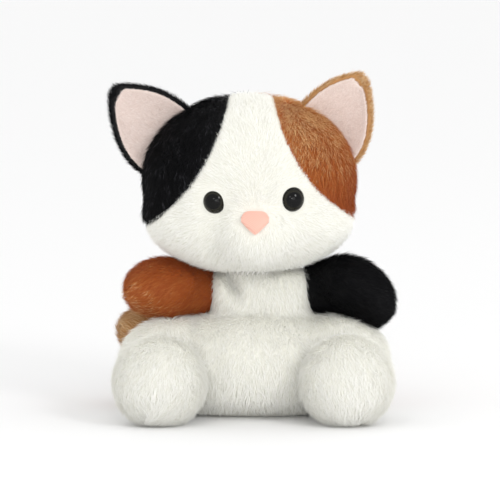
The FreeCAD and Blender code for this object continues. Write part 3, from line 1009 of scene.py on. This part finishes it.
def vectors(tree, operation, first, second=None):
    """One vector maths node's result."""
    values = {0: first}
    if second is not None:
        values[1] = second
    return add(tree, "ShaderNodeVectorMath", values, operation=operation).outputs[0]


def scaled(tree, vector, factor):
    """A vector times a number."""
    return add(tree, "ShaderNodeVectorMath", {0: vector, "Scale": factor}, operation="SCALE").outputs[0]


def chance(tree, low, high, seed):
    """A random number for each hair."""
    node = add(tree, "FunctionNodeRandomValue", {2: low, 3: high, 8: seed}, data_type="FLOAT")
    return node.outputs[1]


def hair(tree, start):
    """One fibre a unit long: a three-sided cone, bent over towards +X, with its upper half marked."""
    slim = maths(tree, "DIVIDE", start["Root radius"], start["Pile length"])
    cone = add(
        tree,
        "GeometryNodeMeshCone",
        {"Vertices": 3, "Side Segments": 2, "Radius Top": 0.0, "Radius Bottom": slim, "Depth": 1.0},
        fill_type="NGON",
    ).outputs["Mesh"]
    place = add(tree, "GeometryNodeInputPosition").outputs[0]
    height = add(tree, "ShaderNodeSeparateXYZ", {0: place}).outputs["Z"]
    curl = maths(tree, "MULTIPLY", maths(tree, "MULTIPLY", height, height), start["Droop"])
    shift = add(tree, "ShaderNodeCombineXYZ", {0: curl}).outputs[0]
    bent = add(tree, "GeometryNodeSetPosition", {"Geometry": cone, "Offset": shift}).outputs[0]
    upper = maths(tree, "GREATER_THAN", height, 0.5)
    return add(
        tree,
        "GeometryNodeStoreNamedAttribute",
        {"Geometry": bent, "Name": "upper", "Value": upper},
        data_type="FLOAT",
        domain="FACE",
    ).outputs[0]


def brushing(tree, start):
    """The way a hair leans: the brush, the parting and a soft swirl added up."""
    place = add(tree, "GeometryNodeInputPosition").outputs[0]
    from_point = vectors(tree, "NORMALIZE", vectors(tree, "SUBTRACT", place, start["Parting point"]))
    parted = scaled(tree, from_point, start["Parting"])
    cloud = add(
        tree, "ShaderNodeTexNoise", {"Vector": place, "Scale": start["Swirl scale"], "Detail": 2.0}
    ).outputs["Color"]
    centred = vectors(tree, "SUBTRACT", cloud, (0.5, 0.5, 0.5))
    swirl = scaled(tree, centred, maths(tree, "MULTIPLY", start["Swirl"], 4.0))
    return vectors(tree, "ADD", vectors(tree, "ADD", start["Brush"], parted), swirl)


def tone_of_hair(tree, start):
    """0 is the darkest shade and 1 the lightest: a base tone, a painted slope of light and shade across the
    piece, and chance.
    """
    place = add(tree, "GeometryNodeInputPosition").outputs[0]
    # The slope is painted light and shade: the tone rises from the given point along the given way.
    offset = vectors(tree, "SUBTRACT", place, start["Painted light from"])
    pair = {0: offset, 1: start["Painted light way"]}
    slope = add(tree, "ShaderNodeVectorMath", pair, operation="DOT_PRODUCT").outputs["Value"]
    cloud = add(tree, "ShaderNodeTexNoise", {"Vector": place, "Scale": 300.0, "Detail": 1.0}).outputs["Fac"]
    streak = maths(tree, "MULTIPLY", maths(tree, "SUBTRACT", cloud, 0.5), start["Tone spread"])
    lucky = chance(tree, -0.5, 0.5, 11)
    luck = maths(tree, "MULTIPLY", lucky, start["Tone spread"])
    base = maths(tree, "ADD", start["Tone"], slope)
    return maths(tree, "ADD", maths(tree, "ADD", base, streak), luck)


def pile_tree():
    """Scatter and brush the hairs of one panel, and shade them: dye by chance, painted light and shade by
    place and towards the roots.
    """
    tree = bpy.data.node_groups.new("pile", "GeometryNodeTree")
    sockets(tree, PILE_INPUTS)
    start = add(tree, "NodeGroupInput").outputs
    mask = add(tree, "GeometryNodeInputNamedAttribute", {"Name": "pile"}, data_type="FLOAT").outputs[0]
    density = maths(tree, "MULTIPLY", start["Density"], maths(tree, "GREATER_THAN", mask, 0.05))
    scatter = add(
        tree,
        "GeometryNodeDistributePointsOnFaces",
        {"Mesh": start["Geometry"], "Density": density, "Seed": start["Seed"]},
        distribute_method="RANDOM",
    )
    upright = add(
        tree, "FunctionNodeAlignRotationToVector", {"Vector": scatter.outputs["Normal"]}, axis="Z"
    ).outputs[0]
    brushed = add(
        tree,
        "FunctionNodeAlignRotationToVector",
        {"Rotation": upright, "Vector": brushing(tree, start)},
        axis="X",
        pivot_axis="Z",
    ).outputs[0]
    tilt = maths(tree, "MULTIPLY", start["Lean"], chance(tree, 0.6, 1.35, 3))
    twist = chance(tree, -0.45, 0.45, 5)
    angles = add(tree, "ShaderNodeCombineXYZ", {1: tilt, 2: twist}).outputs[0]
    lean = add(tree, "FunctionNodeEulerToRotation", {0: angles}).outputs[0]
    turned_hair = add(
        tree, "FunctionNodeRotateRotation", {0: brushed, 1: lean}, rotation_space="LOCAL"
    ).outputs[0]
    short = add(tree, "GeometryNodeInputNamedAttribute", {"Name": "pile"}, data_type="FLOAT").outputs[0]
    cut = maths(tree, "MULTIPLY", start["Pile length"], short)
    size = maths(tree, "MULTIPLY", cut, chance(tree, 0.7, 1.12, 7))
    planted = add(
        tree,
        "GeometryNodeInstanceOnPoints",
        {
            "Points": scatter.outputs["Points"],
            "Instance": hair(tree, start),
            "Rotation": turned_hair,
            "Scale": size,
        },
    ).outputs[0]
    toned = add(
        tree,
        "GeometryNodeStoreNamedAttribute",
        {"Geometry": planted, "Name": "tone", "Value": tone_of_hair(tree, start)},
        data_type="FLOAT",
        domain="INSTANCE",
    ).outputs[0]
    coloured = add(tree, "GeometryNodeRealizeInstances", {"Geometry": toned}).outputs[0]
    tone = add(tree, "GeometryNodeInputNamedAttribute", {"Name": "tone"}, data_type="FLOAT").outputs[0]
    upper = add(tree, "GeometryNodeInputNamedAttribute", {"Name": "upper"}, data_type="FLOAT").outputs[0]
    # A hair's upper half is painted lighter than its root: partly its dye, partly painted shade down among
    # the roots.
    lighter = maths(tree, "ADD", tone, maths(tree, "MULTIPLY", upper, 0.2))
    for step in range(1, 6):
        chosen = maths(tree, "GREATER_THAN", lighter, (step - 1) * 0.2 - (10 if step == 1 else 0))
        coloured = add(
            tree,
            "GeometryNodeSetMaterial",
            {"Geometry": coloured, "Selection": chosen, "Material": start[f"Shade {step}"]},
        ).outputs[0]
    add(tree, "NodeGroupOutput", {0: coloured})
    return tree


pile = pile_tree()
print("pile tree nodes:", len(pile.nodes))


# %% [markdown]
# ## Where the pile grows
# Pile is left off where a skin is sewn into another part, under the eyes and the nose, and it is
# short where the cat sits. A value on each vertex says how long the pile is there.

# %% Pile masks
def face_copy(name, skin, index=None):
    """A copy of a skin, or of one of its panels, to grow pile on."""
    bm = bmesh.new()
    bm.from_mesh(skin.data)
    if index is not None:
        other = [face for face in bm.faces if face.material_index != index]
        bmesh.ops.delete(bm, geom=other, context="FACES")
    return from_bmesh(name, bm)


RAY = Vector((0.21, 0.13, 1.0)).normalized()


def box_of(obj):
    """Lowest and highest corner of an object."""
    spots = [vertex.co for vertex in obj.data.vertices]
    low = Vector(min(spot[axis] for spot in spots) for axis in range(3))
    high = Vector(max(spot[axis] for spot in spots) for axis in range(3))
    return low, high


def inside(tree, box, point):
    """Is a point inside a closed skin? An odd number of walls lies above it."""
    low, high = box
    if not all(low[axis] < point[axis] < high[axis] for axis in range(3)):
        return False
    walls = 0
    start = point.copy()
    while walls < 12:
        hit = tree.ray_cast(start, RAY)[0]
        if hit is None:
            break
        walls += 1
        start = hit + RAY * 1e-6
    return walls % 2 == 1


def pile_mask(obj, rules):
    """Store the pile's share of its length on each vertex: the least that any rule gives."""
    mask = obj.data.attributes.new("pile", "FLOAT", "POINT")
    mask.data.foreach_set("value", [min(rule(v.co) for rule in rules) for v in obj.data.vertices])


def clear_of(skins, margin=0.0):
    """A rule: no pile inside other skins, or closer to them than a margin."""
    known = [(tree_of(skin), box_of(skin)) for skin in skins]

    def rule(co):
        for tree, box in known:
            if inside(tree, box, co) or margin and distance(tree, co) < margin:
                return 0.0
        return 1.0

    return rule


def round_eyes(co):
    """A rule: no pile under an eye, and short pile beside it."""
    gap = min((co - centre).length - radius for _, centre, radius in eyes.values())
    return min(1.0, max(0.0, 0.3 + gap / (5 * MM))) if gap > 0.45 * MM else 0.0


def round_nose(co):
    """A rule: no pile under the nose, and short pile beside it."""
    if co.y > -0.02:
        return 1.0
    across = (co.x - NOSE_X) / NOSE_HALF
    if abs(across) > 1.6:
        return 1.0
    bottom, top = nose_edges(max(-1.0, min(1.0, across)))
    outside = max(bottom - (co.z - NOSE_Z), (co.z - NOSE_Z) - top, (abs(across) - 1) * NOSE_HALF)
    return min(1.0, max(0.0, 0.35 + outside / (5 * MM))) if outside > -0.3 * MM else 0.0


def trimmed_at(border_nodes, least):
    """A rule: pile is trimmed where its panel meets these panels, so the colours meet on a clean line."""
    trees = [tree_of(nodes[name]) for name in border_nodes]
    return lambda co: min(1.0, least + min(distance(tree, co) for tree in trees) / (5 * MM))


beside_patch = trimmed_at(["black_face_patch", "orange_face_patch"], 0.35)
beside_white = trimmed_at(["white_face_panel"], 0.5)


def on_table(co):
    """A rule: pile is pressed short where the cat sits."""
    return 1.0 if co.z > 2.2 * MM else max(0.22, co.z / (2.2 * MM))


def always(co):
    """A rule: full pile."""
    return 1.0


def area_of(obj):
    """Area of the faces that carry pile."""
    values = obj.data.attributes["pile"].data
    return sum(
        polygon.area for polygon in obj.data.polygons if all(values[i].value > 0.05 for i in polygon.vertices)
    )


# %% Grow a panel's pile
seed_count = 0


def grow(name, skin, coat, hairs, panel=None, rules=(always,), **look):
    """Grow pile on a skin or panel, as one plain mesh."""
    global seed_count
    seed_count += 1
    obj = face_copy(name, skin, panel)
    pile_mask(obj, rules)
    values = {"Density": hairs / area_of(obj), "Seed": seed_count}
    values.update(look)
    values.update({f"Shade {step}": material for step, material in enumerate(shades[coat], start=1)})
    run_tree(obj, pile, values)
    print(f"{name}: {len(obj.data.polygons) // 7} hairs")
    return obj


# %% [markdown]
# ## Brushing each part
# The face is brushed out from the nose, the patches run down and out over the brow, the arms and
# feet run towards their ends, and the chest and lap run down.

# %% Pile of the head
all_limbs = list(limb_skins.values())
muzzle_point = (NOSE_X, -0.026, NOSE_Z)
head_clear = clear_of([body_skin, *all_limbs])
face_rules = (head_clear, round_eyes, round_nose)
FACE = {"Parting point": muzzle_point, "Parting": 0.7, "Lean": 0.75, "Droop": 0.55}
PATCH = {"Pile length": 3.4 * MM, "Lean": 0.8, "Swirl": 0.3}
HEAD_BACK = {"Pile length": 3.6 * MM, "Lean": 0.8, "Swirl": 0.4}
HEAD_PILES = {
    "white_face_pile": ("white", 17500, (*face_rules, beside_patch), {
        **FACE, "Pile length": 2.6 * MM, "Brush": (0.0, 0.0, -0.25), "Swirl": 0.25,
        "Tone": 0.6, "Tone spread": 0.45,
    }),
    "black_patch_pile": ("black", 9500, (*face_rules, beside_white), {
        # A low tone with a wide spread lets only a few hairs reach the painted glint shade.
        **PATCH, "Brush": (0.2, 0.0, -1.0), "Tone": 0.22, "Tone spread": 0.8,
    }),
    "orange_patch_pile": ("orange", 9500, (*face_rules, beside_white), {
        **PATCH, "Brush": (-0.2, 0.0, -1.0), "Tone": 0.46, "Tone spread": 0.5,
        # Painted sheen: the patch is painted tan towards its top and rust below.
        "Painted light from": (0.024, 0.0, 0.094), "Painted light way": (-1.0, 0.0, 19.0),
    }),
    "black_head_back_pile": ("black", 7000, (head_clear,), {
        **HEAD_BACK, "Tone": 0.22, "Tone spread": 0.8,
    }),
    "orange_head_back_pile": ("orange", 7000, (head_clear,), {
        **HEAD_BACK, "Tone": 0.45, "Tone spread": 0.7,
        # Painted light: the back of the head is painted lighter towards its top.
        "Painted light from": (0.0, 0.0, 0.085), "Painted light way": (0.0, 0.0, 9.0),
    }),
}
piles = {}


def grow_panels(skin, wanted):
    """Grow each panel's pile, in the order of the skin's panels."""
    for panel, (name, (coat, hairs, rules, look)) in enumerate(wanted.items()):
        piles[name] = grow(name, skin, coat, hairs, panel, rules, **look)


grow_panels(head_skin, HEAD_PILES)

# %% Pile of the body
body_clear = clear_of([head_skin, *all_limbs])
BODY_PILES = {
    "tummy_pile": ("white", 17300, (body_clear, on_table), {
        "Pile length": 3.3 * MM, "Lean": 0.7, "Swirl": 0.4, "Tone": 0.6, "Tone spread": 0.45,
    }),
    "back_pile": ("orange", 9000, (body_clear, on_table), {
        "Pile length": 3.6 * MM, "Lean": 0.8, "Swirl": 0.4, "Tone": 0.5, "Tone spread": 0.7,
        # Painted light: the back is painted lighter towards its top.
        "Painted light from": (0.0, 0.0, 0.03), "Painted light way": (0.0, 0.0, 6.0),
    }),
    "base_pile": ("white", 1000, (body_clear, on_table), {
        "Pile length": 2.2 * MM, "Brush": (0.0, 1.0, 0.0), "Lean": 1.35, "Droop": 0.2,
        "Swirl": 0.5, "Tone": 0.5, "Tone spread": 0.6,
    }),
}
grow_panels(body_skin, BODY_PILES)

# %% Pile of the limbs and the tail
LIMB_PILE = {
    "right_arm": (
        9000, (-1.0, -0.2, -0.35),
        {
            "Tone": 0.26, "Tone spread": 0.6,
            # Painted shade: the arm is painted darker towards its top, under the head, and towards its inner
            # end by the chest.
            "Painted light from": (-0.031, 0.0, 0.046), "Painted light way": (-9.0, 0.0, -12.0),
        },
    ),
    "left_arm": (9000, (1.0, -0.2, -0.35), {"Tone": 0.2, "Tone spread": 0.55}),
    "right_leg": (12400, (-0.2, -0.5, -0.8), {"Tone": 0.6, "Tone spread": 0.45}),
    "left_leg": (12400, (0.2, -0.5, -0.8), {"Tone": 0.6, "Tone spread": 0.45}),
    "tail": (6400, (-1.0, -0.4, 0.3), {"Tone": 0.5, "Tone spread": 0.6}),
}
for limb, (hairs, brush, look) in LIMB_PILE.items():
    others = [skin for name, skin in limb_skins.items() if name != limb]
    rules = (clear_of([head_skin, body_skin, *others]), on_table)
    piles[f"{limb}_pile"] = grow(
        f"{limb}_pile", limb_skins[limb], LIMBS[limb], hairs, None, rules,
        **{"Pile length": 3.3 * MM, "Brush": brush, "Lean": 0.75, "Swirl": 0.35}, **look,
    )

# %% Pile of the ears
for side, coat in EAR_COATS.items():
    centre, along, up, *_ = ear_frame(side)
    lining_clear = clear_of([ear_linings[side]], 1.0 * MM)
    tone = {"black": 0.22, "tan": 0.45}[coat]
    piles[f"{side}_ear_pile"] = grow(
        f"{side}_ear_pile", ear_backs[side], coat, 4500, None, (lining_clear, clear_of([head_skin])),
        **{
            "Pile length": 2.2 * MM, "Brush": tuple(up), "Lean": 0.8, "Droop": 0.4,
            "Swirl": 0.3, "Tone": tone, "Tone spread": 0.7,
        },
    )
    piles[f"{side}_ear_pink_pile"] = grow(
        f"{side}_ear_pink_pile", ear_linings[side], "pink", 4000, None, (clear_of([head_skin]),),
        **{
            "Pile length": 0.9 * MM, "Root radius": 0.1 * MM, "Brush": tuple(up), "Lean": 0.9,
            "Swirl": 0.3, "Tone": 0.6, "Tone spread": 0.6,
        },
    )
total = sum(len(obj.data.polygons) for obj in piles.values())
print("pile pieces:", len(piles), "hairs:", total // 7)

# %% [markdown]
# ## Inside pieces
# The stuffing, beads, pouch and washers are hidden inside and keep their CAD shape, and so does the
# label at the back. Each gets its own finish.

# %% Finish the carried-over pieces
INSIDE = {
    polyester: ["head_stuffing", "body_stuffing", "right_arm_stuffing", "left_arm_stuffing", "tail_stuffing"],
    bead_plastic: ["right_leg_stuffing", "left_leg_stuffing", "pouch_pellets"],
    pouch_weave: ["pellet_pouch"],
    washer_plastic: ["right_eye_washer", "left_eye_washer"],
    label_satin: ["care_label"],
}
for material, name in [(material, name) for material, names in INSIDE.items() for name in names]:
    nodes[name].data.materials.clear()
    nodes[name].data.materials.append(material)

# %% [markdown]
# ## Bodies
# The head's pieces ride on the head, and the body's on the torso. An arm, leg, ear or tail is sewn on;
# its pieces stay where they are made, and the CAD parts that they stand in for are hidden.


def declare(replaced=()):
    """Hide the CAD parts that a piece stands in for."""
    if replaced:
        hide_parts(*replaced)


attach(head_skin, "head")
declare(HEAD_PANELS)
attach(body_skin, "torso")
declare(BODY_PANELS)
for body, group in (("head", HEAD_PILES), ("torso", BODY_PILES)):
    for name, (coat, *_) in group.items():
        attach(piles[name], body)
for side, (eye, _, _) in eyes.items():
    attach(eye, "head")
    declare([f"{side}_eye"])
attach(nose_stitches, "head")
declare(["nose_embroidery"])
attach(nose_base, "head")
declare()
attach(neck_thread, "neck_ring")
declare(["neck_stitching"])

LIMB_JOINTS = {
    "right_arm": "right_arm_swing",
    "left_arm": "left_arm_swing",
    "right_leg": "right_leg_lift",
    "left_leg": "left_leg_lift",
    "tail": "tail_swing",
}
for limb, joint in LIMB_JOINTS.items():
    skin = limb_skins[limb]
    centre = sum((v.co for v in skin.data.vertices), Vector()) / len(skin.data.vertices)
    for piece in (skin, piles[f"{limb}_pile"]):
        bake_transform(piece)
    declare([f"{limb}_skin"])

for side, coat in EAR_COATS.items():
    centre, along, up, *_ = ear_frame(side)
    pieces = (ear_backs[side], ear_linings[side], piles[f"{side}_ear_pile"], piles[f"{side}_ear_pink_pile"])
    for piece in pieces:
        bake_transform(piece)
    declare([f"{side}_ear_back"])
    declare([f"{side}_ear_lining"])

# %% [markdown]
# ## Stage, light and camera
# A pale floor and an even pale sky. The key light stands high on the cat's left, a weaker one fills
# the other side, a broad one lifts the chest and lap, and a very small one makes the spark in the
# eyes. The camera looks slightly down from far away through a long lens.

# %% Floor
bm = bmesh.new()
bmesh.ops.create_grid(bm, x_segments=1, y_segments=1, size=6.0)
floor = from_bmesh("floor", bm)
floor.data.materials.append(plain_material("pale_floor", (0.94, 0.94, 0.94), 0.7, specular=0.1))

# %% Sky and lights
world = bpy.data.worlds.new("studio")
scene.world = world
world.use_nodes = True
world.node_tree.nodes["Background"].inputs["Color"].default_value = (1.0, 1.0, 1.0, 1)
world.node_tree.nodes["Background"].inputs["Strength"].default_value = 1.0
scene.view_settings.view_transform = "Standard"


def soft_light(name, place, aim, size, power):
    """A square soft light that looks at a point."""
    data = bpy.data.lights.new(name, "AREA")
    data.size = size
    data.energy = power
    lamp = bpy.data.objects.new(name, data)
    lamp.location = place
    lamp.rotation_euler = (Vector(aim) - Vector(place)).to_track_quat("-Z", "Y").to_euler()
    scene.collection.objects.link(lamp)


cat_middle = (0.0, 0.0, 0.06)
soft_light("key_light", (0.60, -0.85, 0.60), cat_middle, 0.26, 2.8)
soft_light("fill_light", (-0.3, -1.1, 0.45), cat_middle, 0.16, 0.5)
soft_light("low_light", (0.3, -1.3, 0.10), cat_middle, 0.7, 2.4)
soft_light("catch_light", (0.06, -1.2, 0.20), cat_middle, 0.035, 0.4)

# %% Camera
CAMERA_FAR = 3.0
CAMERA_DOWN = math.radians(7)
VIEW_WIDE = 181.5 * MM
aim = Vector((-0.7 * MM, 0.0, 59.1 * MM))
camera_data = bpy.data.cameras.new("camera")
camera_data.sensor_width = 36
camera_data.lens = 36 * CAMERA_FAR / VIEW_WIDE
camera = bpy.data.objects.new("camera", camera_data)
camera.location = aim + Vector((0, -math.cos(CAMERA_DOWN), math.sin(CAMERA_DOWN))) * CAMERA_FAR
camera.rotation_euler = (aim - camera.location).to_track_quat("-Z", "Y").to_euler()
scene.collection.objects.link(camera)
scene.camera = camera
